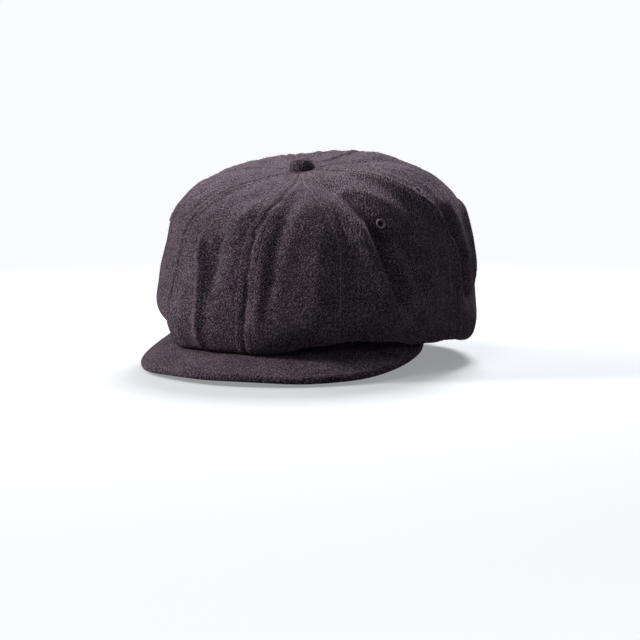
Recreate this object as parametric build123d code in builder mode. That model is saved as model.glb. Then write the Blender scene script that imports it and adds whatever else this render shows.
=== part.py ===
"""Eight-panel newsboy cap: a full wool crown, its bands, a covered button and a bent visor.

Millimetres. The origin is the centre of the head opening at the bottom of the bands,
+Z is up, the visor points along -Y and the wearer's left is +X.
"""
import os
from math import cos, hypot, radians, sin

from build123d import *

os.makedirs("parts", exist_ok=True)

# Head opening and the three bands around it, as half widths (X) and half lengths (Y).
head_half_width = 82.0
head_half_length = 102.0
sweatband_thickness = 1.2
stiffener_thickness = 1.0
stiffener_bottom = 1.5
hat_band_thickness = 1.8
hat_band_height = 24.0
sweatband_height = 30.0

# Crown: ellipses from the button down to the fold that hangs outside the bands, each as
# (height, centre Y, half width, half length, tilt that lowers the front, in degrees). The
# cloth under the overhang is thicker by an allowance for the turned fold.
cloth_thickness = 2.5
fold_allowance = 0.8
crown_sections = [
    (117, -33, 11, 11.5, 11),
    (118, -30, 34, 36, 11.5),
    (116, -24, 62, 67, 10.5),
    (108, -18, 83, 90.5, 8.5),
    (92, -12.5, 98, 106.5, 5),
    (68, -10, 104, 116, 2),
    (40, -11, 108, 122, 0),
    (18, -12, 110.5, 125, 0),
    (6, -11.5, 109, 123.5, 0),
    (1, -10.5, 105, 120.5, 0),
]
# The hollow under the crown's overhang, from below the fold in to the top of the hat band.
overhang_sections = [
    (-4, -10, 101.5, 117.5, 0),
    (1, -9.5, 100, 116.5, 0),
    (8, -6.5, 95, 113, 0),
    (16, -3, 90.5, 109.5, 0),
    (hat_band_height, 0, 86, 106, 0),
]

# Seams run out from the button; an angle of 0 is the front and 90 the wearer's left. The
# wearer's right is the mirror image of the left.
seam_angles = [0, 40, 84, 134, 180]
panel_names = ["panel_front", "panel_side_front", "panel_side_back", "panel_back"]
side_tape_names = ["seam_tape_front", "seam_tape", "seam_tape_back"]
tape_width = 12.0
tape_thickness = 0.9
tape_start = 19.0
tape_bottom = 34.0

# Thread-bound vent eyelets, as (name, angle, place between two crown sections).
eyelet_outer_radius = 3.8
eyelet_hole_radius = 1.3
eyelet_proud = 0.4
eyelet_places = [("eyelet_front", 56, 4.2), ("eyelet_rear", 92, 3.2)]

# Button on the crown's flat top disc.
button_radius = 8.9
button_height = 8.4
button_cloth = 1.2
button_metal = 0.7
post_radius = 1.0
post_hole_reach = 6.0
post_gap = 0.3
backing_radius = 7.5
backing_thickness = 1.0
post_head_radius = 2.2
post_head_thickness = 0.8

# Visor: a sheet bent to a cylinder whose axis slopes down to the front.
visor_slope = 14.6
visor_bend_radius = 260.0
visor_root_height = 0.6
visor_half_thickness = 2.5
visor_board_half_thickness = 1.0
visor_board_margin = 4.0
visor_band_gap = 1.0
visor_half_outline = [(86, -26), (97, -52), (94, -84), (79, -118), (50, -147)]
visor_tip = (0, -162)


def section_plane(height, centre_y, tilt):
    """Plane of a crown section, tipped about X so that its front is lower."""
    slope = radians(tilt)
    return Plane(origin=(0, centre_y, height), x_dir=(1, 0, 0), z_dir=(0, -sin(slope), cos(slope)))


def inset(sections, distance):
    """Crown sections moved inwards along the profile's normal."""
    moved = []
    for index, (height, centre_y, half_width, half_length, tilt) in enumerate(sections):
        if index == 0:
            inward, lowered = 0, distance
        elif index == len(sections) - 1:
            inward, lowered = distance, -distance
        else:
            above, below = sections[index - 1], sections[index + 1]
            run = below[2] - above[2]
            drop = above[0] - below[0]
            inward = distance * drop / hypot(run, drop)
            lowered = distance * run / hypot(run, drop)
        slope = radians(tilt)
        lowered_section = (height - lowered * cos(slope), centre_y + lowered * sin(slope))
        moved.append((*lowered_section, half_width - inward, half_length - inward, tilt))
    return moved


def grown(sections, distance):
    """Overhang sections made wider and higher."""
    return [(h + distance, y, a + distance, b + distance, tilt) for h, y, a, b, tilt in sections]


def lofted(sections):
    """Solid through a stack of ellipses."""
    with BuildPart() as body:
        for height, centre_y, half_width, half_length, tilt in sections:
            with BuildSketch(section_plane(height, centre_y, tilt)):
                Ellipse(half_width, half_length)
        loft()
    return body.part


def elliptic_ring(outer_offset, inner_offset, bottom, top):
    """Upright band around the head opening, between two offsets from the head ellipse."""
    with BuildPart() as ring:
        with BuildSketch(Plane.XY.offset(bottom)):
            Ellipse(head_half_width + outer_offset, head_half_length + outer_offset)
            Ellipse(head_half_width + inner_offset, head_half_length + inner_offset, mode=Mode.SUBTRACT)
        extrude(amount=top - bottom)
    return ring.part


def surface_point(angle, place):
    """Point on the crown at an angle, at a place counted in crown sections."""
    index = min(int(place), len(crown_sections) - 2)
    share = place - index
    pair = zip(crown_sections[index], crown_sections[index + 1])
    height, centre_y, half_width, half_length, tilt = [a + share * (b - a) for a, b in pair]
    turn = radians(angle)
    along = -half_length * cos(turn)
    slope = radians(tilt)
    return Vector(half_width * sin(turn), centre_y + along * cos(slope), height + along * sin(slope))


def seam_direction(angle):
    """Level direction from the button's axis to the fold at an angle."""
    fold = crown_sections[-3]
    turn = radians(angle)
    reach = Vector(fold[2] * sin(turn), fold[1] - fold[3] * cos(turn), 0)
    return (reach - Vector(0, crown_sections[0][1], 0)).normalized()


def write(part, name):
    """Label a finished piece and save it as its own file."""
    part.label = name
    export_step(part, f"parts/{name}.step")


def write_pair(part, name):
    """Save a piece of the left side and its mirror image on the right."""
    write(part, f"{name}_left")
    write(mirror(part, about=Plane.YZ), f"{name}_right")


# --- Bodies that the crown's pieces are cut from -------------------------------------
crown_outside = lofted(crown_sections)
crown_inside = lofted(inset(crown_sections, cloth_thickness))
overhang = lofted(overhang_sections)
overhang_lining = lofted(grown(overhang_sections, cloth_thickness + fold_allowance))

button_plane = section_plane(crown_sections[0][0], crown_sections[0][1], crown_sections[0][4])
stiffener_outer_offset = sweatband_thickness + stiffener_thickness
hat_band_outer_offset = stiffener_outer_offset + hat_band_thickness

with BuildPart() as cavity:
    add(crown_inside)
    add(overhang_lining, mode=Mode.SUBTRACT)

with BuildPart() as crown_shell:
    add(crown_outside)
    add(overhang, mode=Mode.SUBTRACT)
    add(cavity.part, mode=Mode.SUBTRACT)
    with BuildSketch(Plane.XY.offset(hat_band_height / 2)):
        Ellipse(head_half_width + stiffener_outer_offset, head_half_length + stiffener_outer_offset)
    extrude(amount=hat_band_height, mode=Mode.SUBTRACT)
    with BuildSketch(button_plane):
        Circle(post_radius)
    extrude(amount=post_hole_reach, both=True, mode=Mode.SUBTRACT)

# --- Vent eyelets --------------------------------------------------------------------
proud_outside = lofted(inset(crown_sections, -eyelet_proud))
proud_inside = lofted(inset(crown_sections, cloth_thickness + eyelet_proud))
eyelet_reach = 8.0
eyelet_planes = []
for eyelet_name, angle, place in eyelet_places:
    centre = surface_point(angle, place)
    across = surface_point(angle + 1, place) - surface_point(angle - 1, place)
    down = surface_point(angle, place + 0.1) - surface_point(angle, place - 0.1)
    eyelet_plane = Plane(origin=centre, x_dir=across, z_dir=down.cross(across))
    eyelet_planes.append(eyelet_plane)
    with BuildPart() as eyelet:
        with BuildSketch(eyelet_plane):
            Circle(eyelet_outer_radius)
            Circle(eyelet_hole_radius, mode=Mode.SUBTRACT)
        extrude(amount=eyelet_reach, both=True)
        add(proud_outside, mode=Mode.INTERSECT)
        add(proud_inside, mode=Mode.SUBTRACT)
    write_pair(eyelet.part, eyelet_name)

# --- Crown panels --------------------------------------------------------------------
wedge_reach = 260.0
wedge_bottom = -10.0
crown_span = 160.0
pole = Vector(0, crown_sections[0][1], 0)
for index, panel_name in enumerate(panel_names):
    first = seam_direction(seam_angles[index]) * wedge_reach
    last = seam_direction(seam_angles[index + 1]) * wedge_reach
    corners = [pole, pole + first, pole + first + last, pole + last]
    with BuildPart() as panel:
        with BuildSketch(Plane.XY.offset(wedge_bottom)):
            with BuildLine():
                Polyline(*[(corner.X, corner.Y) for corner in corners], close=True)
            make_face()
        extrude(amount=crown_span)
        add(crown_shell.part, mode=Mode.INTERSECT)
        for eyelet_plane in eyelet_planes:
            with BuildSketch(eyelet_plane):
                Circle(eyelet_outer_radius)
            extrude(amount=eyelet_reach, both=True, mode=Mode.SUBTRACT)
    write_pair(panel.part, panel_name)

# --- Seam tapes inside the crown -----------------------------------------------------
tape_inside = lofted(inset(crown_sections, cloth_thickness + tape_thickness))
tape_length = 145.0


def seam_tape(angle):
    """Tape over the inside of the seam at an angle."""
    direction = seam_direction(angle)
    middle = pole + direction * (tape_start + tape_length / 2)
    tape_plane = Plane(origin=(middle.X, middle.Y, tape_bottom), x_dir=direction, z_dir=(0, 0, 1))
    with BuildPart() as tape:
        with BuildSketch(tape_plane):
            Rectangle(tape_length, tape_width)
        extrude(amount=crown_span)
        add(crown_inside, mode=Mode.INTERSECT)
        add(tape_inside, mode=Mode.SUBTRACT)
    return tape.part


write(seam_tape(seam_angles[0]), "seam_tape_front")
write(seam_tape(seam_angles[-1]), "seam_tape_back")
for tape_name, angle in zip(side_tape_names, seam_angles[1:-1]):
    write_pair(seam_tape(angle), tape_name)

# --- Bands around the head -----------------------------------------------------------
stiffener = elliptic_ring(stiffener_outer_offset, sweatband_thickness, stiffener_bottom, hat_band_height)
write(elliptic_ring(sweatband_thickness, 0, 0, sweatband_height), "sweatband")
write(stiffener, "band_stiffener")
write(elliptic_ring(hat_band_outer_offset, stiffener_outer_offset, 0, hat_band_height), "hat_band")


# --- Covered button ------------------------------------------------------------------
def dome(radius, height):
    """Cap of a sphere standing on the crown's top disc."""
    sphere_radius = (radius**2 + height**2) / (2 * height)
    with BuildPart() as body:
        with BuildSketch(Plane(button_plane.origin, x_dir=button_plane.x_dir, z_dir=-button_plane.y_dir)):
            with BuildLine():
                side = RadiusArc((radius, 0), (0, height), -sphere_radius)
                Polyline(side @ 1, (0, 0), side @ 0)
            make_face()
        revolve(axis=Axis(button_plane.origin, button_plane.z_dir))
    return body.part


with BuildPart() as button_cover:
    add(dome(button_radius, button_height))
    add(dome(button_radius - button_cloth, button_height - button_cloth), mode=Mode.SUBTRACT)
write(button_cover.part, "button_cover")

shell_radius = button_radius - button_cloth
shell_height = button_height - button_cloth
with BuildPart() as button_shell:
    add(dome(shell_radius, shell_height))
    add(dome(shell_radius - button_metal, shell_height - button_metal), mode=Mode.SUBTRACT)
write(button_shell.part, "button_shell")

with BuildPart() as button_post:
    with BuildSketch(button_plane):
        Circle(post_radius)
    extrude(amount=shell_height - button_metal - post_gap)
    extrude(button_post.faces().sort_by(Axis.Z)[0], amount=cloth_thickness + backing_thickness)
    with BuildSketch(button_plane.offset(-cloth_thickness - backing_thickness)):
        Circle(post_head_radius)
    extrude(amount=-post_head_thickness)
write(button_post.part, "button_post")

with BuildPart() as backing_disc:
    with BuildSketch(button_plane.offset(-cloth_thickness)):
        Circle(backing_radius)
        Circle(post_radius, mode=Mode.SUBTRACT)
    extrude(amount=-backing_thickness)
write(backing_disc.part, "button_backing_disc")


# --- Visor ---------------------------------------------------------------------------
def drawn_in(point, margin):
    """Outline point moved by a margin towards the middle of the head opening's front half."""
    middle = Vector(0, -head_half_length / 2)
    inward = (middle - Vector(*point)).normalized() * margin
    return (point[0] + inward.X, point[1] + inward.Y)


def visor_sketch(margin):
    """Plan of the visor, drawn in by a margin on every side."""
    right_side = [(-x, y) for x, y in visor_half_outline]
    outline = [drawn_in(point, margin) for point in right_side + [visor_tip] + visor_half_outline[::-1]]
    with BuildSketch() as plan:
        with BuildLine():
            edge = Spline(*outline)
            Line(edge @ 1, edge @ 0)
        make_face()
        around_band = hat_band_outer_offset + visor_band_gap + margin
        Ellipse(head_half_width + around_band, head_half_length + around_band, mode=Mode.SUBTRACT)
    return plan.sketch


def bent_sheet(lower, upper, margin):
    """Visor layer between two heights above the visor's middle surface."""
    slope = radians(visor_slope)
    root = Vector(0, -(head_half_length + hat_band_outer_offset), visor_root_height)
    across = Plane(origin=root, x_dir=(1, 0, 0), z_dir=(0, cos(slope), sin(slope)))
    reach = 160.0
    with BuildPart() as layer:
        with BuildSketch(across):
            with Locations((0, visor_bend_radius)):
                Circle(visor_bend_radius + upper)
                Circle(visor_bend_radius + lower, mode=Mode.SUBTRACT)
        extrude(amount=reach, both=True)
        with BuildSketch(Plane.XY.offset(-reach / 2)):
            add(visor_sketch(margin))
        extrude(amount=reach, mode=Mode.INTERSECT)
    return layer.part


visor_board = bent_sheet(-visor_board_half_thickness, visor_board_half_thickness, visor_board_margin)
for cover_name, lower, upper in [
    ("visor_top_cover", 0, visor_half_thickness),
    ("visor_under_cover", -visor_half_thickness, 0),
]:
    with BuildPart() as cover:
        add(bent_sheet(lower, upper, 0))
        add(visor_board, mode=Mode.SUBTRACT)
    write(cover.part, cover_name)
write(visor_board, "visor_board")
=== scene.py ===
"""Looks of the eight-panel newsboy cap.

Shapes are worked out in the model's own frame in millimetres and scaled to metres when a
mesh is made. The crown is one surface, addressed by an angle round the cap (0 is the front,
90 the wearer's left) and a place down a stack of elliptic sections.
"""
import math

import bpy
import numpy as np
from mathutils import Matrix, Vector


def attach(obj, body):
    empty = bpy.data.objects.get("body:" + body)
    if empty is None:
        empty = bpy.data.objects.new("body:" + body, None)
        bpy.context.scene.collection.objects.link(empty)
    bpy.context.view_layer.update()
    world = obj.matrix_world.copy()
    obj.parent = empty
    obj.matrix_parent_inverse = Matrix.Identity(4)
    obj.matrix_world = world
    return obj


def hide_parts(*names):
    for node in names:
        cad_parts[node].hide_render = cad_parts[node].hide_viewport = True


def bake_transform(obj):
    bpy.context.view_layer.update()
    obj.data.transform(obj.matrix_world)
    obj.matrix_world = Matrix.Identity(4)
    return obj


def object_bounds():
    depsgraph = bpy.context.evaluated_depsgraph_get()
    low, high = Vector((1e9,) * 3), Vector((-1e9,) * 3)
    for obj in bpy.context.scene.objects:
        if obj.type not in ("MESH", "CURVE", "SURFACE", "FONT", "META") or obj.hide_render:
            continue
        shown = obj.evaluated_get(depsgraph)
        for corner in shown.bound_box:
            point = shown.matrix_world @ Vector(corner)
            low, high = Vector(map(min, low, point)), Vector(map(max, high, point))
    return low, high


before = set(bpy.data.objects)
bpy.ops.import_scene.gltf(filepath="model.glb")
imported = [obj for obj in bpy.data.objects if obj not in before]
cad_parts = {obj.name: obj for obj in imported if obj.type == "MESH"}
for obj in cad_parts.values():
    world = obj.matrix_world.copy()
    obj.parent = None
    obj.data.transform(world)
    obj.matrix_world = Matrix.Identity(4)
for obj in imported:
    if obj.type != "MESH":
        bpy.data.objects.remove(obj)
cad_low, cad_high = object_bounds()

MM = 0.001
CROWN, VISOR = "crown", "visor"

# Sections as in the CAD: height, centre Y, half width, half length, tilt in degrees. They run
# from the button out over the crown, round the fold and up inside to the hat band's top.
SECTIONS = np.array([
    (117, -33, 11, 11.5, 11),
    (118, -30, 34, 36, 11.5),
    (116, -24, 62, 67, 10.5),
    (108, -18, 83, 90.5, 8.5),
    (92, -12.5, 98, 106.5, 5),
    (68, -10, 104, 116, 2),
    (40, -11, 108, 122, 0),
    (18, -12, 110.5, 125, 0),
    (6, -11.5, 109, 123.5, 0),
    (1, -10.5, 105, 120.5, 0),
    (1, -9.5, 100, 116.5, 0),
    (8, -6.5, 95, 113, 0),
    (16, -3, 90.5, 109.5, 0),
    (24, 0, 86.5, 106.5, 0),
], dtype=float)
# A place is a section's number, or a fraction between two of them. Below 0 is the disc under
# the button.
FIRST_PLACE = -0.88
FOLD_PLACE = 9.4
LAST_PLACE = len(SECTIONS) - 1.0

CLOTH = 1.8
SEAM_NAMES = ("front", "front_left", "left", "back_left", "back", "back_right", "right", "front_right")
PANEL_NAMES = (
    "panel_front_left", "panel_side_front_left", "panel_side_back_left", "panel_back_left",
    "panel_back_right", "panel_side_back_right", "panel_side_front_right", "panel_front_right",
)
# Each seam's angle at places down the crown. The soft crown has slipped round to the wearer's
# left at the front, and the left seam leans forward over the top.
SEAM_COURSES = (
    ((1, 22), (2.3, 16), (3.4, 11), (4.2, 8), (5, 7)),
    ((1, 36), (2, 38), (3.8, 40), (5, 43)),
    ((1, 80), (2.2, 77), (3.4, 80), (4.1, 85), (4.8, 91)),
    ((1, 128), (3, 130), (5, 135)),
    ((1, 178), (4, 181)),
    ((1, 226), (4, 228)),
    ((1, 272), (4, 276)),
    ((1, 333), (3, 333), (5, 330)),
)
STITCH_SETBACK = 6.2

# How much higher than its section the fold hangs, by angle, and how far it is tucked in.
LIP_LIFT = ((-180, 0), (-130, 1), (-90, 8), (-66, 12), (-48, 5), (-28, -1.5), (8, -2), (20, 0),
            (32, 4), (46, 5.5), (60, 3.5), (72, 0.5), (92, 0), (110, -4), (135, -2), (180, 0))
LIP_TUCK = ((-180, 0), (-110, 0), (-88, 5), (-66, 10), (-50, 11), (-40, 10), (-28, 1),
            (-20, 0), (180, 0))

# Folds of the soft cloth: height above the crown (a valley is negative), half width, and the
# course as (angle, place) points.
FOLDS = (
    (-3.0, 5.0, ((24, 1.8), (21, 2.9), (18, 4.0), (16, 5.0), (15, 6.0), (15, 7.0))),
    (1.5, 7.0, ((6, 2.4), (1, 3.6), (0, 4.6), (0, 6.0))),
    (4.6, 3.6, ((-16, 4.3), (-15, 5.0), (-12.5, 5.8), (-11.5, 6.8), (-11.5, 8.6))),
    (-3.2, 4.5, ((-7, 4.4), (-8, 5.2), (-7, 6.2))),
    (-1.6, 4.5, ((9, 5.7), (7.5, 6.4), (6, 7.2))),
    (2.0, 5.0, ((12.5, 5.2), (12, 6.2), (11, 7.4))),
    (-5.0, 7.0, ((46, 1.2), (48, 2.2), (51, 3.2), (53, 4.2))),
    (-13.0, 6.0, ((52, 3.9), (56, 4.7), (60, 5.5), (65, 6.3), (69, 7.1))),
    (-5.0, 9.0, ((62, 4.4), (66, 5.0), (71, 5.8), (75, 6.4))),
    (7.5, 7.0, ((45, 3.8), (48, 4.6), (51, 5.3), (55, 6.1), (58, 6.9))),
    (2.5, 6.0, ((47, 2.0), (55, 2.6), (60, 3.2), (66, 4.0))),
    (3.0, 5.0, ((72, 1.2), (72, 2.2), (76, 3.2), (82, 4.0), (88, 4.7))),
    (-11.0, 6.5, ((90, 4.1), (95, 4.6), (98.5, 5.2), (100, 5.8), (101, 6.6))),
    (2.6, 3.4, ((79, 1.4), (77, 2.2), (80, 3.4), (85, 4.1), (91, 4.8), (94, 5.6), (95, 6.4))),
    (-2.0, 2.6, ((72, 7.1), (82, 7.8))),
    (2.0, 8.0, ((34, 4.0), (32, 5.4), (34, 7.0))),
    (1.5, 15.0, ((-98, 2.6), (-98, 3.4), (-96, 4.4))),
    (0.8, 7.0, ((-77, 2.6), (-75, 3.4), (-73, 4.2))),
    (-5.0, 5.0, ((-64, 2.8), (-62, 3.6), (-60, 4.4), (-58, 5.2))),
    (-3.5, 7.0, ((-45, 3.7), (-48, 4.6), (-50, 5.6))),
    (-4.5, 8.0, ((-112, 4.4), (-118, 5.4), (-120, 6.6))),
    (-5.0, 11.0, ((-146, 0.9), (-153, 1.4), (-162, 2.1))),
    (4.0, 9.0, ((-146, 2.8), (-150, 4.2), (-156, 5.8))),
    (-4.0, 8.0, ((-163, 3.4), (-166, 4.8), (-165, 6.4))),
    (-5.0, 9.0, ((158, 2.6), (156, 4.0), (161, 5.2), (167, 6.4))),
    (-9.0, 16.0, ((150, 1.2), (141, 2.2), (134, 3.0), (132, 3.7), (132, 4.4))),
    (3.5, 8.0, ((114, 4.0), (114, 5.0), (115, 6.2))),
    (-3.5, 7.0, ((120, 3.6), (122, 5.0), (126, 6.4))),
    (-2.5, 10.0, ((170, 0.6), (174, 1.4), (178, 2.2))),
)

# Each eyelet's name, angle and place.
EYELETS = (
    ("eyelet_front_left", 57, 4.1),
    ("eyelet_rear_left", 84, 3.25),
    ("eyelet_front_right", -56, 4.2),
    ("eyelet_rear_right", -92, 3.2),
)
# Radii of the thread's ring and its hole, of the hole's edge in the cloth, of the patch whose
# points are cut out for it, and of the level cloth round the ring.
EYELET_RADIUS = 3.5
EYELET_HOLE = 2.0
EYELET_EDGE = 2.5
EYELET_CUT = 1.9
EYELET_PATCH = 5.5

# Half widths and half lengths of the hat band's outside and of the head opening.
BAND_OUTER = (86.0, 106.0)
HEAD = (82.0, 102.0)

# The visor's slope, the radius it is bent to, a (Y, Z) point of its middle line, and half its
# thickness.
VISOR_SLOPE = math.radians(14.6)
VISOR_BEND = 260.0
VISOR_ROOT = (-106.0, 1.5)
VISOR_HALF_THICKNESS = 2.5
VISOR_HALF_OUTLINE = ((88, -18), (99, -46), (95, -84), (79.5, -118), (50, -147))
VISOR_TIP = (0, -162)


# --- Small tools ---------------------------------------------------------------------
def through(values, where):
    """Smooth curve through the rows of values, at fractional row numbers."""
    values = np.asarray(values, dtype=float)
    where = np.asarray(where, dtype=float)
    last = len(values) - 1
    index = np.clip(np.floor(where).astype(int), 0, last - 1)
    share = (where - index)[..., None]
    before = values[np.clip(index - 1, 0, last)]
    start = values[index]
    end = values[index + 1]
    after = values[np.clip(index + 2, 0, last)]
    return 0.5 * (
        2 * start
        + (end - before) * share
        + (2 * before - 5 * start + 4 * end - after) * share**2
        + (3 * start - before - 3 * end + after) * share**3
    )


def table(pairs, where, period=None):
    """Values read from (position, value) pairs, eased between them."""
    positions, values = np.array(pairs, dtype=float).T
    if period:
        where = (np.asarray(where) - positions[0]) % period + positions[0]
    index = np.clip(np.searchsorted(positions, where, side="right") - 1, 0, len(positions) - 2)
    share = np.clip((where - positions[index]) / (positions[index + 1] - positions[index]), 0, 1)
    share = share * share * (3 - 2 * share)
    return values[index] + (values[index + 1] - values[index]) * share


def rise(low, high, value):
    """0 below low, 1 above high, smooth between."""
    share = np.clip((value - low) / (high - low), 0, 1)
    return share * share * (3 - 2 * share)


def run_along(line):
    """Length along a line of points, at each of them."""
    steps = np.linalg.norm(np.diff(line, axis=0), axis=1)
    return np.concatenate([[0], np.cumsum(steps)])


def spots_along(line, marks):
    """Points on a line of points, at lengths along it."""
    length = run_along(line)
    return np.stack([np.interp(marks, length, column) for column in line.T], -1)


NOISE_SIZE = 32
NOISE_GRID = np.random.RandomState(7).uniform(-1, 1, (NOISE_SIZE,) * 3)


def noise(points, wavelength, shift):
    """Smooth noise from -1 to 1 at points, in the same unit as the wavelength."""
    scaled = np.asarray(points) / wavelength + shift
    cell = np.floor(scaled).astype(int)
    share = scaled - cell
    share = share * share * (3 - 2 * share)
    total = 0.0
    for corner in np.ndindex(2, 2, 2):
        picked = NOISE_GRID[tuple(((cell + corner) % NOISE_SIZE)[..., axis] for axis in range(3))]
        weight = np.prod(np.where(corner, share, 1 - share), axis=-1)
        total = total + picked * weight
    return total


def unit(vectors):
    """The same directions, of length 1."""
    return vectors / np.maximum(np.linalg.norm(vectors, axis=-1, keepdims=True), 1e-9)


def make_mesh(name, points, faces, material, uv=None, sharp_degrees=55):
    """Object from points in millimetres and faces, with an optional cloth map in metres."""
    mesh = bpy.data.meshes.new(name)
    mesh.from_pydata((np.asarray(points).reshape(-1, 3) * MM).tolist(), [], faces)
    if uv is not None:
        layer = mesh.uv_layers.new(name="cloth")
        corners = np.empty(len(mesh.loops), dtype=np.int32)
        mesh.loops.foreach_get("vertex_index", corners)
        layer.data.foreach_set("uv", (np.asarray(uv).reshape(-1, 2)[corners] * MM).ravel())
    mesh.shade_smooth()
    mesh.set_sharp_from_angle(angle=math.radians(sharp_degrees))
    mesh.materials.append(material)
    piece = bpy.data.objects.new(name, mesh)
    bpy.context.collection.objects.link(piece)
    return piece


def grid_faces(rows, columns, start=0, flip=False, wrap=False):
    """Quads of a grid of points numbered row by row."""
    faces = []
    for row in range(rows - 1):
        for column in range(columns if wrap else columns - 1):
            after = (column + 1) % columns
            quad = (
                start + row * columns + column,
                start + row * columns + after,
                start + (row + 1) * columns + after,
                start + (row + 1) * columns + column,
            )
            faces.append(quad[::-1] if flip else quad)
    return faces


def shell_faces(rows, columns, flip=False):
    """Closed sheet: a grid, a second grid under it, and the strip round their edges."""
    count = rows * columns
    faces = grid_faces(rows, columns, 0, flip) + grid_faces(rows, columns, count, not flip)
    rim = [column for column in range(columns)]
    rim += [row * columns + columns - 1 for row in range(1, rows)]
    rim += [(rows - 1) * columns + column for column in range(columns - 2, -1, -1)]
    rim += [row * columns for row in range(rows - 2, 0, -1)]
    for here, after in zip(rim, rim[1:] + rim[:1]):
        quad = (after, here, here + count, after + count)
        faces.append(quad[::-1] if flip else quad)
    return faces


# --- The crown's surface -------------------------------------------------------------
# Wrinkles round the top, a whole number of times the noise's size so that they close up.
WRINKLES = 3 * NOISE_SIZE


def crown_base(angle, place):
    """Point on the smooth crown, with its lip lifted and tucked in.

    Places from -1 to 0 are the flat top disc under the button, from its middle out.
    """
    angle, place = np.broadcast_arrays(np.asarray(angle, float), np.asarray(place, float))
    section = through(SECTIONS, np.maximum(place, 0))
    height, centre, half_width, half_length, tilt = np.moveaxis(section, -1, 0)
    shrink = 1 + np.minimum(place, 0)
    half_width, half_length = half_width * shrink, half_length * shrink
    near_lip = rise(5.2, 9, place) * (1 - rise(10.5, LAST_PLACE, place))
    lift = table(LIP_LIFT, angle, 360) * near_lip
    tuck = table(LIP_TUCK, angle, 360) * rise(6.5, 8.0, place) * (1 - rise(FOLD_PLACE, 11.5, place))
    turn, slope = np.radians(angle), np.radians(tilt)
    along = -(half_length - tuck) * np.cos(turn)
    return np.stack([
        (half_width - tuck) * np.sin(turn),
        centre + along * np.cos(slope),
        height + along * np.sin(slope) + lift,
    ], axis=-1)


def crown_normal(angle, place):
    """Outward direction of the smooth crown."""
    around = crown_base(angle + 0.5, place) - crown_base(angle - 0.5, place)
    down = crown_base(angle, np.minimum(place + 0.03, LAST_PLACE)) - crown_base(angle, place - 0.03)
    return unit(np.cross(down, around))


def seam_angle(seam, place):
    """Angle at which a seam passes a place."""
    return table(SEAM_COURSES[seam], place)


def reach(angle, place):
    """Millimetres on the crown per degree of angle."""
    around = crown_base(angle + 0.5, place) - crown_base(angle - 0.5, place)
    return np.linalg.norm(around, axis=-1)


def seam_scale(place):
    """How far a seam's shape has opened out on its way from the button."""
    return 0.25 + 0.75 * rise(0.1, 1.6, place)


def seam_relief(angle, place, points):
    """Groove, raised allowances and stitch dents beside every seam."""
    total = np.zeros_like(angle)
    scale = seam_scale(place)
    pucker = noise(points, 9.0, 3.3)
    for seam in range(len(SEAM_COURSES)):
        turn = (angle - seam_angle(seam, place) + 180) % 360 - 180
        away = np.abs(turn) * reach(angle, place)
        opened = away / scale
        groove = -0.4 * np.exp(-((opened / 1.2) ** 2))
        allowance = 0.45 * rise(0.6, 2.6, opened) * (1 - rise(5.0, 9.0, opened))
        dent = -0.5 * np.exp(-(((opened - STITCH_SETBACK) / 0.9) ** 2)) * (1 + 0.5 * pucker)
        drawn_in = -0.8 * np.exp(-((opened / 13.0) ** 2))
        total += (groove + allowance + dent + drawn_in) * (0.35 + 0.65 * scale)
    return total


def fold_relief(points):
    """Sum of the folds at points on the smooth crown. Each fades out at its course's ends."""
    flat = points.reshape(-1, 3)
    total = np.zeros(len(flat))
    for height, half_width, course in FOLDS:
        where = np.linspace(0, len(course) - 1, 12 * len(course))
        spots = through(course, where)
        line = crown_base(spots[:, 0], spots[:, 1])
        near = np.full(len(flat), np.inf)
        which = np.zeros(len(flat))
        for number, spot in enumerate(line):
            away = np.sum((flat - spot) ** 2, axis=1)
            closer = away < near
            near = np.where(closer, away, near)
            which = np.where(closer, number / (len(line) - 1), which)
        ends = rise(0, 0.3, which + 0.08) * (1 - rise(0.65, 1.0, which - 0.06))
        total += height * ends * np.exp(-near / (1.1 * half_width**2))
    return total.reshape(points.shape[:-1])


def ripple_relief(angle, place, points):
    """Panels bulging between seams, gathers toward the fold and small unevenness."""
    lower = rise(4.5, 8.5, place) * (1 - rise(10.0, 12.5, place))
    gathers = noise(np.stack([points[..., 0], points[..., 1], points[..., 2] * 0.25], -1), 24.0, 5.1)
    broad = noise(points, 46.0, 1.7)
    fine = noise(points, 13.0, 9.2)
    puckers = noise(points, 7.0, 2.4) * rise(11.0, 12.8, place)
    top = rise(0.2, 1.2, place)
    turns = np.stack([angle * (WRINKLES / 360), place * 1.2, 0 * place], -1)
    radial = noise(turns, 1.0, 4.2) * rise(0.5, 2.2, place) * (1 - rise(3.2, 5.2, place))
    return top * (1.6 * lower * gathers + 1.3 * broad + 0.35 * fine + 0.5 * puckers + 0.55 * radial)


def cloth_relief(angle, place, points):
    """How far seams, folds and gathers lift the cloth off the smooth crown."""
    return seam_relief(angle, place, points) + fold_relief(points) + ripple_relief(angle, place, points)


EYELET_ANGLES = np.array([angle for _, angle, _ in EYELETS], float)
EYELET_PLACES = np.array([place for _, _, place in EYELETS], float)
EYELET_SPOTS = crown_base(EYELET_ANGLES, EYELET_PLACES)
EYELET_HEIGHTS = cloth_relief(EYELET_ANGLES, EYELET_PLACES, EYELET_SPOTS)


def laid_flat(relief, points):
    """The same relief, but level in the patch that the thread stiffens round each eyelet."""
    for spot, height in zip(EYELET_SPOTS, EYELET_HEIGHTS):
        away = np.linalg.norm(points - spot, axis=-1)
        relief = relief + np.exp(-((away / EYELET_PATCH) ** 4)) * (height - relief)
    return relief


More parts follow.
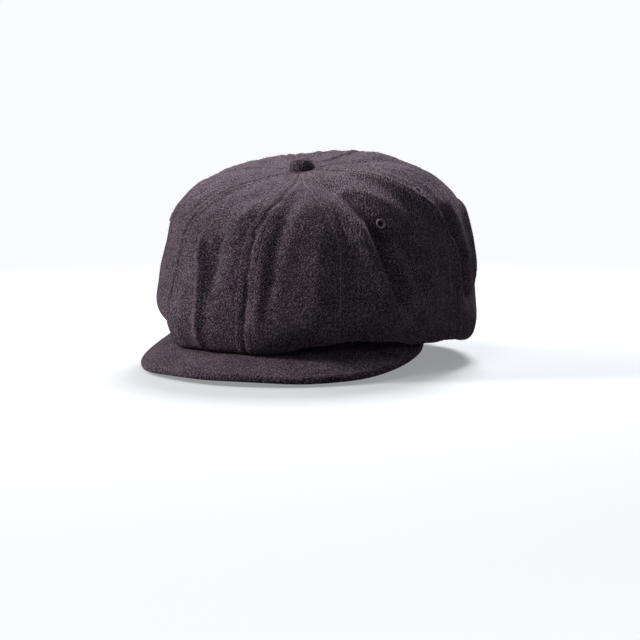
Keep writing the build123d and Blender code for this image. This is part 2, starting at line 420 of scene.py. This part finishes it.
def crown_surface(angle, place, depth=0.0):
    """Points on the creased crown, or that deep inside the cloth."""
    angle, place = np.broadcast_arrays(np.asarray(angle, float), np.asarray(place, float))
    points = crown_base(angle, place)
    kept = rise(-0.1, 0.5, place) * (1 - rise(12.2, LAST_PLACE, place))
    relief = laid_flat(cloth_relief(angle, place, points), points)
    return points + crown_normal(angle, place) * (relief * kept - depth)[..., None]


def row_places(count):
    """Places evenly spaced along the crown's profile, so that rows are the same height."""
    fine = np.linspace(FIRST_PLACE, LAST_PLACE, 600)
    length = run_along(crown_base(90.0, fine))
    return np.interp(np.linspace(0, length[-1], count), length, fine)


# --- Materials -----------------------------------------------------------------------
class Nodes:
    """Short way to write a material's node tree."""

    def __init__(self, name):
        self.material = bpy.data.materials.new(name)
        self.material.use_nodes = True
        self.tree = self.material.node_tree
        self.shader = self.tree.nodes["Principled BSDF"]

    def add(self, kind, inputs=(), **settings):
        """A new node with its settings made and its inputs set or linked."""
        node = self.tree.nodes.new(kind)
        for key, value in settings.items():
            setattr(node, key, value)
        for key, value in dict(inputs).items():
            self.put(node.inputs[key], value)
        return node

    def put(self, socket, value):
        """Give an input a value, or link it to an output."""
        if isinstance(value, bpy.types.NodeSocket):
            self.tree.links.new(value, socket)
        else:
            socket.default_value = value

    def math(self, operation, first, second):
        """Result of one sum on two values."""
        return self.add("ShaderNodeMath", {0: first, 1: second}, operation=operation).outputs[0]

    def blend_of(self, *shares):
        """Sum of values, each times its share."""
        total = 0.0
        for value, share in shares:
            inputs = {0: value, 1: share, 2: total}
            total = self.add("ShaderNodeMath", inputs, operation="MULTIPLY_ADD").outputs[0]
        return total

    def noise(self, vector, scale, detail, roughness=0.5):
        """Noise from 0 to 1 at a vector."""
        inputs = {"Vector": vector, "Scale": scale, "Detail": detail, "Roughness": roughness}
        return self.add("ShaderNodeTexNoise", inputs).outputs["Fac"]

    def mapped(self, vector, **settings):
        """The vector turned or scaled."""
        return self.add("ShaderNodeMapping", {"Vector": vector, **settings}).outputs[0]

    def ramp(self, value, stops):
        """Colour at a value, between (position, colour) stops."""
        node = self.add("ShaderNodeValToRGB", {0: value})
        elements = node.color_ramp.elements
        while len(elements) < len(stops):
            elements.new(0.5)
        for element, (position, colour) in zip(elements, stops):
            element.position = position
            element.color = (*colour, 1)
        return node.outputs[0]

    def mix(self, share, first, second):
        """First colour with a share of the second."""
        node = self.add("ShaderNodeMix", data_type="RGBA")
        self.put(node.inputs["Factor"], share)
        self.put(node.inputs["A"], first)
        self.put(node.inputs["B"], second)
        return node.outputs["Result"]

    def surface(self, **values):
        """Set the shader's inputs, named with underscores."""
        for key, value in values.items():
            self.put(self.shader.inputs[key.replace("_", " ")], value)

    def bump(self, height, distance, strength):
        """Relief of the surface, as deep as the distance."""
        inputs = {"Height": height, "Distance": distance, "Strength": strength}
        self.surface(Normal=self.add("ShaderNodeBump", inputs).outputs[0])


def wool_material():
    """Brushed melange wool: faint twill of dark plum-brown yarns with paler and black fibres."""
    n = Nodes("melange_wool")
    cloth = n.add("ShaderNodeUVMap", uv_map="cloth").outputs[0]
    solid = n.add("ShaderNodeTexCoord").outputs["Object"]
    wobble = n.add("ShaderNodeTexNoise", {"Vector": solid, "Scale": 300.0, "Detail": 2.0})
    wobble = n.add("ShaderNodeVectorMath", {
        0: wobble.outputs["Color"], 1: (0.003, 0.003, 0)}, operation="MULTIPLY").outputs[0]
    yarns = n.add("ShaderNodeVectorMath", {0: cloth, 1: wobble}, operation="ADD").outputs[0]
    slanted = n.mapped(yarns, Rotation=(0, 0, math.radians(38)))
    twill = n.add("ShaderNodeTexWave", {"Vector": slanted, "Scale": 210.0}).outputs["Fac"]
    nubs = n.noise(solid, 1050.0, 3.0, 0.6)
    fibres = n.noise(n.mapped(solid, Scale=(1.0, 1.0, 2.2)), 1700.0, 3.0, 0.7)
    patches = n.noise(solid, 60.0, 3.0, 0.6)
    mixed = n.blend_of((nubs, 0.53), (fibres, 0.33), (twill, 0.06), (patches, 0.08))
    plum = n.ramp(mixed, [
        (0.40, (0.0055, 0.0045, 0.0068)),
        (0.48, (0.025, 0.0185, 0.0275)),
        (0.54, (0.062, 0.045, 0.063)),
        (0.62, (0.21, 0.155, 0.185)),
    ])
    brown = n.ramp(mixed, [
        (0.40, (0.007, 0.0055, 0.006)),
        (0.50, (0.038, 0.026, 0.026)),
        (0.58, (0.155, 0.10, 0.09)),
    ])
    flecks = n.ramp(n.noise(solid, 620.0, 1.0), [(0.56, (0, 0, 0)), (0.66, (1, 1, 1))])
    colour = n.mix(flecks, plum, brown)
    n.surface(
        Base_Color=colour,
        Roughness=1.0,
        Specular_IOR_Level=0.03,
        Sheen_Weight=0.3,
        Sheen_Roughness=0.5,
        Sheen_Tint=n.ramp(mixed, [(0.42, (0.02, 0.013, 0.02)), (0.60, (0.80, 0.60, 0.76))]),
    )
    n.bump(n.blend_of((nubs, 0.6), (fibres, 0.35), (twill, 0.16)), 0.0014, 0.9)
    return n.material


def thread_material(name, colour):
    """Twisted thread with a slight gloss."""
    n = Nodes(name)
    solid = n.add("ShaderNodeTexCoord").outputs["Object"]
    strands = n.noise(solid, 2600.0, 2.0)
    dark = tuple(0.55 * part for part in colour)
    n.surface(
        Base_Color=n.ramp(strands, [(0.35, dark), (0.65, colour)]),
        Roughness=0.7,
        Sheen_Weight=0.05,
    )
    n.bump(strands, 0.0002, 0.6)
    return n.material


def woven_material(name, dark, pale, thread_mm, roughness=0.8):
    """Fine twill of two yarn colours, for tape and sweatband."""
    n = Nodes(name)
    solid = n.add("ShaderNodeTexCoord").outputs["Object"]
    scale = 0.16 / (thread_mm * MM)
    waves = []
    for turn in ((0, 0, 0.8), (0.9, 0, -0.8)):
        inputs = {"Vector": n.mapped(solid, Rotation=turn), "Scale": scale, "Distortion": 0.7}
        waves.append(n.add("ShaderNodeTexWave", inputs).outputs["Fac"])
    weave = n.math("MULTIPLY", waves[0], waves[1])
    uneven = n.math("ADD", n.noise(solid, 420.0, 3.0), 0.4)
    n.surface(
        Base_Color=n.mix(n.math("MULTIPLY", weave, uneven), (*dark, 1), (*pale, 1)),
        Roughness=roughness,
        Sheen_Weight=0.2,
    )
    n.bump(weave, 0.0003, 0.7)
    return n.material


def plain_material(name, colour, metallic, roughness, grain):
    """Material of an inner piece: a faintly uneven colour and finish."""
    n = Nodes(name)
    solid = n.add("ShaderNodeTexCoord").outputs["Object"]
    uneven = n.noise(solid, grain, 3.0)
    dark = tuple(0.8 * part for part in colour)
    n.surface(
        Base_Color=n.ramp(uneven, [(0.3, dark), (0.7, colour)]),
        Metallic=metallic,
        Roughness=roughness,
    )
    n.bump(uneven, 0.0001, 0.3)
    return n.material


WOOL = wool_material()
TOP_THREAD = thread_material("top_thread", (0.165, 0.115, 0.108))
EYELET_THREAD = thread_material("eyelet_thread", (0.22, 0.145, 0.16))
FIBRE = thread_material("wool_fibre", (0.085, 0.062, 0.074))
TAPE = woven_material("seam_tape", (0.012, 0.011, 0.014), (0.045, 0.042, 0.050), 0.7)
SWEATBAND = woven_material("sweatband_twill", (0.014, 0.013, 0.016), (0.055, 0.050, 0.058), 0.9, 0.7)
METAL = plain_material("button_metal", (0.52, 0.52, 0.54), 1.0, 0.35, 90.0)
INTERLINING = plain_material("interlining", (0.62, 0.60, 0.56), 0.0, 0.85, 500.0)
BOARD = plain_material("visor_board", (0.75, 0.74, 0.70), 0.0, 0.5, 60.0)


# --- Crown panels --------------------------------------------------------------------
PANEL_ROWS = 200
PANEL_COLUMNS = 89
PLACES = row_places(PANEL_ROWS)
# How far apart on the weave the panels are cut. The button and visor have such a shift too.
PANEL_SHIFT = 37.0


def panel_grid(index):
    """Angles and places of a panel's points, closer together beside its seams."""
    share = np.linspace(0, 1, PANEL_COLUMNS)
    share = share - 0.55 * np.sin(2 * np.pi * share) / (2 * np.pi)
    place = np.repeat(PLACES[:, None], PANEL_COLUMNS, axis=1)
    first = seam_angle(index, place)
    last = seam_angle((index + 1) % len(SEAM_COURSES), place)
    last = first + (last - first) % 360
    return first + (last - first) * share, place


def cloth_map(points):
    """Lengths across and down a grid of points, from its middle column and top row."""
    across = np.linalg.norm(np.diff(points, axis=1), axis=-1)
    across = np.concatenate([np.zeros((len(points), 1)), np.cumsum(across, axis=1)], axis=1)
    across -= across[:, -1:] / 2
    down = np.linalg.norm(np.diff(points, axis=0), axis=-1).mean(axis=1)
    down = np.repeat(np.concatenate([[0], np.cumsum(down)])[:, None], points.shape[1], axis=1)
    return np.stack([across, -down], axis=-1)


def lie_of_cloth(angle, place, distance):
    """Middle and outward direction of the creased cloth within a distance of a spot."""
    down = crown_base(angle, place + 0.05) - crown_base(angle, place - 0.05)
    turn = np.linspace(0, 2 * np.pi, 16, endpoint=False)
    angles = angle + distance * np.cos(turn) / reach(angle, place)
    places = place + distance * np.sin(turn) * 0.1 / np.linalg.norm(down)
    ring = crown_surface(angles, places)
    middle = ring.mean(axis=0)
    normal = unit(np.cross(ring - middle, np.roll(ring, -1, axis=0) - middle).mean(axis=0))
    return middle, normal * np.sign(np.dot(normal, crown_normal(angle, place)))


def cut_eyelets(points, faces):
    """The faces without those over eyelet holes, with the points round each drawn to its edge."""
    for _, angle, place in EYELETS:
        middle, normal = lie_of_cloth(angle, place, EYELET_RADIUS)
        above = (points - middle) @ normal
        flat = points - middle - above[:, None] * normal
        inside = (np.linalg.norm(flat, axis=1) < EYELET_CUT) & (np.abs(above) < 3 * CLOTH)
        opened = inside[faces].any(axis=1)
        rim = np.zeros(len(points), dtype=bool)
        rim[faces[opened]] = True
        rim &= ~inside
        faces = faces[~opened]
        points[rim] = middle + unit(flat[rim]) * EYELET_EDGE + above[rim, None] * normal
    return faces


def make_panel(index):
    """One crown panel with the cloth's thickness and its eyelet holes."""
    angle, place = panel_grid(index)
    outside = crown_surface(angle, place)
    inside = outside - crown_normal(angle, place) * CLOTH
    uv = cloth_map(crown_base(angle, place)) + (PANEL_SHIFT * index, 0)
    points = np.concatenate([outside.reshape(-1, 3), inside.reshape(-1, 3)])
    faces = cut_eyelets(points, np.array(shell_faces(PANEL_ROWS, PANEL_COLUMNS))).tolist()
    piece = make_mesh(PANEL_NAMES[index], points, faces, WOOL, np.concatenate([uv, uv]))
    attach(piece, CROWN)
    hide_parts(PANEL_NAMES[index])


for panel_index in range(len(PANEL_NAMES)):
    make_panel(panel_index)


# --- Top stitching -------------------------------------------------------------------
STITCH_PITCH = 3.1
STITCH_LENGTH = 2.3
STITCH_RADIUS = 0.26
STITCH_SIDES = 6
STITCH_LIFT = 0.06
# First and last place of a row of stitches.
STITCH_COURSE = (0.3, 10.6)


def capsule_row(starts, ends, normals):
    """Points and faces of a row of rounded stitches that sink into the cloth at their ends."""
    # Each ring's share of the stitch's length, and its radius and height in stitch radii.
    rings = (
        (0.0, 0.35, -0.9),
        (0.18, 0.95, 0.2),
        (0.5, 1.0, 0.75),
        (0.82, 0.95, 0.2),
        (1.0, 0.35, -0.9),
    )
    along = ends - starts
    side = unit(np.cross(along, normals))
    points = []
    for share, width, lift in rings:
        centre = starts + along * share + normals * (lift * STITCH_RADIUS)
        for corner in range(STITCH_SIDES):
            turn = 2 * math.pi * corner / STITCH_SIDES
            offset = side * math.cos(turn) + normals * math.sin(turn)
            points.append(centre + offset * (STITCH_RADIUS * width))
    points = np.stack(points, axis=1)
    faces = []
    for stitch in range(len(starts)):
        first = stitch * len(rings) * STITCH_SIDES
        faces += grid_faces(len(rings), STITCH_SIDES, first, flip=True, wrap=True)
        faces.append(tuple(first + corner for corner in range(STITCH_SIDES)))
        last = first + (len(rings) - 1) * STITCH_SIDES
        faces.append(tuple(last + corner for corner in reversed(range(STITCH_SIDES))))
    return points.reshape(-1, 3), faces


def make_stitches(name, courses):
    """Stitches along (angle, place) courses on the crown."""
    points = []
    faces = []
    count = 0
    for angle, place in courses:
        line = crown_surface(angle, place)
        length = run_along(line)
        begins = np.arange(1.0, length[-1] - STITCH_PITCH, STITCH_PITCH)
        middle = begins + STITCH_LENGTH / 2
        normal = crown_normal(np.interp(middle, length, angle), np.interp(middle, length, place))
        starts, ends = (
            spots_along(line, marks) + normal * STITCH_LIFT
            for marks in (begins, begins + STITCH_LENGTH)
        )
        row_points, row_faces = capsule_row(starts, ends, normal)
        points.append(row_points)
        faces += [tuple(corner + count for corner in face) for face in row_faces]
        count += len(row_points)
    piece = make_mesh(name, np.concatenate(points), faces, TOP_THREAD)
    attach(piece, CROWN)


for seam_index, seam_name in enumerate(SEAM_NAMES):
    row_place = np.linspace(*STITCH_COURSE, 240)
    centre_angle = seam_angle(seam_index, row_place)
    setback = STITCH_SETBACK * seam_scale(row_place) / reach(centre_angle, row_place)
    sides = [(centre_angle + side_sign * setback, row_place) for side_sign in (-1, 1)]
    make_stitches(f"stitching_{seam_name}", sides)


# --- Vent eyelets --------------------------------------------------------------------
def make_eyelet(name, angle, place):
    """Ring of satin-stitched thread round a hole through the cloth."""
    centre, normal = lie_of_cloth(angle, place, EYELET_RADIUS)
    across = unit(np.cross(normal, (0, 0, 1.0)))
    upward = np.cross(normal, across)
    around, section = 168, 20
    turn = np.linspace(0, 2 * np.pi, around, endpoint=False)[:, None]
    cut = np.linspace(0, 2 * np.pi, section, endpoint=False)[None, :]
    thread = 0.5 + 0.5 * np.cos(42 * turn + 0.8 * np.sin(3 * turn))
    middle_radius = (EYELET_RADIUS + EYELET_HOLE) / 2
    half_width = (EYELET_RADIUS - EYELET_HOLE) / 2 * (0.9 + 0.1 * thread)
    half_height = CLOTH / 2 + 0.85 + 0.12 * thread
    radius = middle_radius + half_width * np.sign(np.cos(cut)) * np.abs(np.cos(cut)) ** 0.8
    height = half_height * np.sign(np.sin(cut)) * np.abs(np.sin(cut)) ** 0.7 - CLOTH / 2 + 0.1
    points = centre + height[..., None] * normal
    points = points + (radius * np.cos(turn))[..., None] * across
    points = points + (radius * np.sin(turn))[..., None] * upward
    faces = grid_faces(around, section, wrap=True)
    last = (around - 1) * section
    for corner in range(section):
        after = (corner + 1) % section
        faces.append((last + corner, last + after, after, corner))
    piece = make_mesh(name, points, faces, EYELET_THREAD, sharp_degrees=75)
    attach(piece, CROWN)
    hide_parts(name)


for eyelet in EYELETS:
    make_eyelet(*eyelet)


# --- Covered button ------------------------------------------------------------------
# The dome's height over the crown, the height of its widest level, and how far its cloth
# reaches down under that level.
BUTTON_RADIUS = 8.9
BUTTON_HEIGHT = 8.4
BUTTON_WAIST = 0.8
BUTTON_TUCK = 4.0
BUTTON_SHIFT = 400


def make_button():
    """Cloth-covered dome, gathered under its lower edge."""
    height, centre_y, _, _, tilt = SECTIONS[0]
    slope = math.radians(tilt)
    up = np.array([0, -math.sin(slope), math.cos(slope)])
    back = np.array([0, math.cos(slope), math.sin(slope)])
    middle = np.array([0, centre_y, height])
    around, rows = 96, 36
    turn = np.linspace(0, 2 * np.pi, around, endpoint=False)
    rise_angle = np.linspace(-0.42, np.pi / 2 - 0.02, rows)[:, None]
    pleats = np.cos(15 * turn + 1.2 * np.sin(4 * turn)) * (1 - rise(-0.2, 0.5, rise_angle))
    radius = (BUTTON_RADIUS + 0.16 * pleats) * np.cos(rise_angle) ** 0.88
    swell = np.where(rise_angle < 0, BUTTON_TUCK, BUTTON_HEIGHT - BUTTON_WAIST)
    level = swell * np.sin(rise_angle) + BUTTON_WAIST + 0 * turn
    outward = np.cos(turn)[:, None] * np.array([1.0, 0, 0]) + np.sin(turn)[:, None] * back
    points = middle + radius[..., None] * outward + level[..., None] * up
    tip = middle + up * (level[-1, 0] + 0.02)
    base = middle + up * level[0, 0]
    points = np.concatenate([points.reshape(-1, 3), [tip, base]])
    faces = grid_faces(rows, around, wrap=True)
    top = (rows - 1) * around
    tip_number = rows * around
    for corner in range(around):
        after = (corner + 1) % around
        faces.append((top + corner, top + after, tip_number))
        faces.append((after, corner, tip_number + 1))
    flat = points - middle
    spread = 1 + 0.35 * (np.hypot(flat[:, 0], flat[:, 1]) / BUTTON_RADIUS) ** 2
    uv = np.stack([flat[:, 0] * spread, flat[:, 1] * spread], -1) + BUTTON_SHIFT
    piece = make_mesh("button_cover", points, faces, WOOL, uv)
    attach(piece, CROWN)
    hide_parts("button_cover")


make_button()


# --- Seam tapes ----------------------------------------------------------------------
TAPE_HALF_WIDTH = 5.5
TAPE_GAP = 0.15
# First and last place of a tape.
TAPE_COURSE = (0.65, 6.4)


def make_tape(seam):
    """Woven tape over the seam allowances inside the crown."""
    rows, columns = 90, 9
    place = np.linspace(*TAPE_COURSE, rows)[:, None] + np.zeros((1, columns))
    centre = seam_angle(seam, place)
    across = np.linspace(-TAPE_HALF_WIDTH, TAPE_HALF_WIDTH, columns)[None, :]
    angle = centre + across / reach(centre, place)
    crest = 1 - (across / TAPE_HALF_WIDTH) ** 4
    outer = crown_surface(angle, place, CLOTH + TAPE_GAP)
    inner = outer - crown_normal(angle, place) * (0.45 + 0.35 * crest)[..., None]
    points = np.concatenate([outer.reshape(-1, 3), inner.reshape(-1, 3)])
    uv = cloth_map(outer)
    name = f"seam_tape_{SEAM_NAMES[seam]}"
    piece = make_mesh(name, points, shell_faces(rows, columns), TAPE, np.concatenate([uv, uv]))
    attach(piece, CROWN)
    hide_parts(name)


for seam_index in range(len(SEAM_NAMES)):
    make_tape(seam_index)


# --- Loose fibres ----------------------------------------------------------------------
FIBRE_COUNT = 12000
FIBRE_LENGTH = 2.6
FIBRE_WIDTH = 0.07
FIBRE_PLACES = (0.3, 10.5)


def make_fibres():
    """Thin curved wisps that stand off the brushed wool of the crown."""
    random = np.random.RandomState(21)
    place = np.interp(random.uniform(0, 1, FIBRE_COUNT), np.linspace(0, 1, len(PLACES)), PLACES)
    angle = random.uniform(-180, 180, FIBRE_COUNT)
    kept = (place > FIBRE_PLACES[0]) & (place < FIBRE_PLACES[1])
    angle, place = angle[kept], place[kept]
    count = len(place)
    roots = crown_surface(angle, place)
    lean = unit(random.normal(size=(count, 3)))
    size = FIBRE_LENGTH * random.uniform(0.35, 1.0, count)[:, None]
    heading = unit(crown_normal(angle, place) + 0.9 * lean)
    curl = unit(np.cross(heading, unit(random.normal(size=(count, 3)))))
    side = unit(np.cross(heading, curl)) * FIBRE_WIDTH / 2
    middle = roots + heading * size * 0.5 + curl * size * 0.12
    tip = roots + heading * size * 0.85 + curl * size * 0.5
    points = np.stack([roots - side, roots + side, middle + side, middle - side, tip], axis=1)
    faces = []
    for first in range(0, 5 * count, 5):
        faces.append((first, first + 1, first + 2, first + 3))
        faces.append((first + 3, first + 2, first + 4))
    piece = make_mesh("crown_fibres", points, faces, FIBRE)
    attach(piece, CROWN)


make_fibres()


# --- Bands ---------------------------------------------------------------------------
def make_band(name, profile, material, waviness, shift):
    """Closed ring with a profile of (outward offset from the head, height) points."""
    around = 360
    turn = np.linspace(0, 2 * np.pi, around, endpoint=False)
    rows = []
    for offset, height in profile:
        x = (HEAD[0] + offset) * np.sin(turn)
        y = -(HEAD[1] + offset) * np.cos(turn)
        spot = np.stack([x, y, np.full(around, height)], -1)
        outward = unit(spot * (1, 1, 0))
        bend = waviness * noise(spot * (1, 1, 0.6), 18.0, shift)
        rows.append(spot + outward * bend[:, None] + (0, 0, 0.4) * bend[:, None])
    points = np.stack(rows)
    around_band = run_along(points[0])[None, :]
    up_profile = run_along(profile)[:, None]
    uv = np.stack(np.broadcast_arrays(around_band, up_profile), -1)
    faces = grid_faces(len(profile), around, flip=True, wrap=True)
    last = (len(profile) - 1) * around
    for corner in range(around):
        after = (corner + 1) % around
        faces.append((last + corner, last + after, after, corner)[::-1])
    piece = make_mesh(name, points, faces, material, uv)
    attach(piece, CROWN)
    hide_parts(name)


HAT_BAND_PROFILE = (
    (2.3, 1.4), (2.5, 0.5), (3.1, 0.05), (3.7, 0.4), (4.0, 1.2), (4.05, 6), (4.05, 12), (4.05, 18),
    (4.0, 23.6), (3.2, 23.9), (2.3, 23.6), (2.25, 12),
)
SWEATBAND_PROFILE = (
    (1.2, 1.2), (1.9, 0.35), (1.5, 0.02), (0.6, 0.05), (0.1, 0.7), (0.0, 2.2), (0.0, 8), (0.0, 15),
    (0.0, 22), (0.0, 28.6), (0.25, 29.6), (0.7, 29.95), (1.1, 29.5), (1.15, 24), (1.15, 12),
)
make_band("hat_band", HAT_BAND_PROFILE, WOOL, 0.12, 4.0)
make_band("sweatband", SWEATBAND_PROFILE, SWEATBAND, 0.15, 8.0)


# --- Visor ---------------------------------------------------------------------------
def visor_point(x, y, offset):
    """Point above the visor's bent middle surface by an offset, at plan position x, y."""
    drop = VISOR_BEND - np.sqrt(VISOR_BEND**2 - x**2)
    up = offset - drop
    along = (y - VISOR_ROOT[0] + up * math.sin(VISOR_SLOPE)) / math.cos(VISOR_SLOPE)
    height = VISOR_ROOT[1] + along * math.sin(VISOR_SLOPE) + up * math.cos(VISOR_SLOPE)
    return np.stack(np.broadcast_arrays(x, y, height), -1)


VISOR_COLUMNS = 181
VISOR_ROWS = 64
# The inner edge's gap to the hat band, and how far in front of the middle it ends.
VISOR_GAP = 0.3
VISOR_END = 26
VISOR_SHIFT = 90


def visor_plan(margin):
    """Plan positions of the visor's grid, and each one's distance from the outer edge."""
    right_side = [(-x, y) for x, y in VISOR_HALF_OUTLINE]
    outline = right_side + [VISOR_TIP] + list(VISOR_HALF_OUTLINE[::-1])
    fine = through(outline, np.linspace(0, len(outline) - 1, 800))
    outer = spots_along(fine, np.linspace(0, run_along(fine)[-1], VISOR_COLUMNS))
    half_width, half_length = BAND_OUTER[0] + VISOR_GAP, BAND_OUTER[1] + VISOR_GAP
    end_turn = math.acos(VISOR_END / half_length)
    turn = np.linspace(-end_turn, end_turn, VISOR_COLUMNS)
    inner = np.stack([half_width * np.sin(turn), -half_length * np.cos(turn)], -1)
    inward = unit(inner - outer)
    width = np.linalg.norm(inner - outer, axis=1)
    kept = np.maximum(width - 2 * margin, 0.4)
    share = 1 - (1 - np.linspace(0, 1, VISOR_ROWS)) ** 1.8
    from_edge = (1 - share)[:, None] * kept[None, :]
    start = outer + inward * np.minimum(margin, width * 0.4)[:, None]
    plan = start[None] + inward[None] * from_edge[..., None]
    return plan, from_edge


def make_visor_layer(name, sign, material, half_thickness, margin):
    """Layer of the visor up to its face (down for sign -1), rounded at the outer edge.

    A cover starts at the middle surface, and the board, which has a margin, fills both sides.
    """
    plan, from_edge = visor_plan(margin)
    x, y = plan[..., 0], plan[..., 1]
    rounding = np.clip(1 - from_edge / half_thickness, 0, 1)
    thickness = half_thickness * np.sqrt(1 - rounding**2)
    unevenness = noise(np.stack([x, y, 0 * x], -1), 17.0, 6.0) * 0.22 * rise(2, 9, from_edge)
    seam_dip = -0.3 * np.exp(-(((from_edge - 4.5) / 2.0) ** 2)) * (margin == 0)
    face = visor_point(x, y, sign * (thickness + unevenness + seam_dip))
    middle = visor_point(x, y, 0 if margin == 0 else -half_thickness)
    uv = np.stack([x + VISOR_SHIFT, y], -1)
    points = np.concatenate([face.reshape(-1, 3), middle.reshape(-1, 3)])
    faces = shell_faces(VISOR_ROWS, VISOR_COLUMNS, flip=sign > 0)
    piece = make_mesh(name, points, faces, material, np.concatenate([uv, uv]))
    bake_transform(piece)
    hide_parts(name)


make_visor_layer("visor_top_cover", 1, WOOL, VISOR_HALF_THICKNESS, 0)
make_visor_layer("visor_under_cover", -1, WOOL, VISOR_HALF_THICKNESS, 0)
make_visor_layer("visor_board", 1, BOARD, 1.0, 4.0)


# --- Inner CAD pieces that keep their shapes ------------------------------------------
for node_name, material in {
    "button_shell": METAL,
    "button_post": METAL,
    "button_backing_disc": METAL,
    "band_stiffener": INTERLINING,
}.items():
    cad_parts[node_name].material_slots[0].material = material


# --- Floor, light and camera ----------------------------------------------------------
BACKDROP = (0.955, 0.965, 0.99, 1)
FLOOR_GAP = 0.0002
FLOOR_RADII = (0.0, 0.3, 0.8, 2.0, 6.0, 20.0, 60.0)


def make_floor():
    """Pale floor under the cap, clear from below, that fades into the backdrop's white.

    It gives the cap less light than it shows, as the backdrop does.
    """
    height = cad_low[2] - FLOOR_GAP
    around = 96
    points = [
        (radius * math.cos(turn) / MM, radius * math.sin(turn) / MM, height / MM)
        for radius in FLOOR_RADII
        for turn in np.linspace(0, 2 * math.pi, around, endpoint=False)
    ]
    n = Nodes("floor")
    seen = n.add("ShaderNodeLightPath").outputs["Is Camera Ray"]
    n.surface(
        Base_Color=n.mix(seen, (0.18, 0.18, 0.19, 1), (0.50, 0.51, 0.525, 1)),
        Roughness=0.9,
        Specular_IOR_Level=0.1,
    )
    place = n.add("ShaderNodeTexCoord").outputs["Object"]
    away = n.add("ShaderNodeVectorMath", {0: place}, operation="LENGTH").outputs["Value"]
    fade = n.add("ShaderNodeMapRange", {
        "Value": away, "From Min": 0.28, "From Max": 0.8, "To Min": 0.3,
    }, interpolation_type="SMOOTHSTEP").outputs["Result"]
    strength = n.add("ShaderNodeMapRange", {"Value": seen, "To Min": 0.35}).outputs["Result"]
    glow = n.add("ShaderNodeEmission", {"Color": BACKDROP, "Strength": strength}).outputs[0]
    above = n.add("ShaderNodeMixShader", {0: fade, 1: n.shader.outputs[0], 2: glow}).outputs[0]
    below = n.add("ShaderNodeNewGeometry").outputs["Backfacing"]
    clear = n.add("ShaderNodeBsdfTransparent").outputs[0]
    surface = n.add("ShaderNodeMixShader", {0: below, 1: above, 2: clear}).outputs[0]
    n.put(n.tree.nodes["Material Output"].inputs["Surface"], surface)
    faces = grid_faces(len(FLOOR_RADII), around, flip=True, wrap=True)
    floor = make_mesh("floor", points, faces, n.material)


def make_world():
    """White room to look at that gives only a weak light of its own."""
    world = bpy.data.worlds.new("studio")
    world.use_nodes = True
    tree = world.node_tree
    ambient = tree.nodes["Background"]
    ambient.inputs["Color"].default_value = (0.92, 0.95, 1, 1)
    ambient.inputs["Strength"].default_value = 0.045
    seen = tree.nodes.new("ShaderNodeBackground")
    seen.inputs["Color"].default_value = BACKDROP
    choice = tree.nodes.new("ShaderNodeMixShader")
    path = tree.nodes.new("ShaderNodeLightPath")
    tree.links.new(path.outputs["Is Camera Ray"], choice.inputs[0])
    tree.links.new(ambient.outputs[0], choice.inputs[1])
    tree.links.new(seen.outputs[0], choice.inputs[2])
    tree.links.new(choice.outputs[0], tree.nodes["World Output"].inputs["Surface"])
    bpy.context.scene.world = world


def add_light(name, place, target, size, power, colour):
    """Round area light that faces a target."""
    data = bpy.data.lights.new(name, "AREA")
    data.shape = "DISK"
    data.size = size
    data.energy = power
    data.color = colour
    light = bpy.data.objects.new(name, data)
    bpy.context.collection.objects.link(light)
    light.location = place
    light.rotation_euler = (Vector(target) - Vector(place)).to_track_quat("-Z", "Y").to_euler()


# How far the camera turns round the cap and looks down, its distance and lens, and its shift
# to the right and up, which frames the cap.
CAMERA_TURN = math.radians(29)
CAMERA_DROP = math.radians(6.9)
CAMERA_AWAY = 1.39
CAMERA_LENS = 108.6
CAMERA_ASIDE = (-0.0036, 0.0072)


def make_camera():
    """The camera, which looks past the origin. Returns its forward and right directions."""
    forward = Vector((
        -math.sin(CAMERA_TURN) * math.cos(CAMERA_DROP),
        math.cos(CAMERA_TURN) * math.cos(CAMERA_DROP),
        -math.sin(CAMERA_DROP),
    ))
    right = Vector((math.cos(CAMERA_TURN), math.sin(CAMERA_TURN), 0))
    up = right.cross(forward)
    data = bpy.data.cameras.new("camera")
    data.lens = CAMERA_LENS
    camera = bpy.data.objects.new("camera", data)
    bpy.context.collection.objects.link(camera)
    camera.matrix_world = Matrix((right, up, -forward)).transposed().to_4x4()
    camera.location = -forward * CAMERA_AWAY + right * CAMERA_ASIDE[0] + up * CAMERA_ASIDE[1]
    bpy.context.scene.camera = camera
    return forward, right


WHITE = (1, 1, 1)
WARM = (1, 0.985, 0.975)
COOL = (0.93, 0.97, 1)
SKY = (0.97, 0.985, 1)


def light_scene(forward, right):
    """Key and side lights on the camera's left, a window behind the cap and weak front lights."""
    level = Vector((forward.x, forward.y, 0)).normalized()
    target = (0, -0.02, 0.05)

    def toward(aside, ahead, high):
        return right * aside + level * ahead + Vector((0, 0, high))

    add_light("key", toward(-1.5, -0.2, 0.8), target, 0.45, 38, WARM)
    add_light("side", toward(-1.1, 0.7, 0.9), target, 0.5, 8, WHITE)
    add_light("window", toward(0.3, 1.0, 1.2), target, 0.6, 52, SKY)
    add_light("front", toward(-0.4, -0.6, 1.5), target, 0.6, 7.5, COOL)
    add_light("low_front", toward(-0.1, -1.25, 0.75), target, 0.7, 1.8, COOL)
    bpy.context.scene.view_settings.view_transform = "Standard"


make_world()
make_floor()
light_scene(*make_camera())
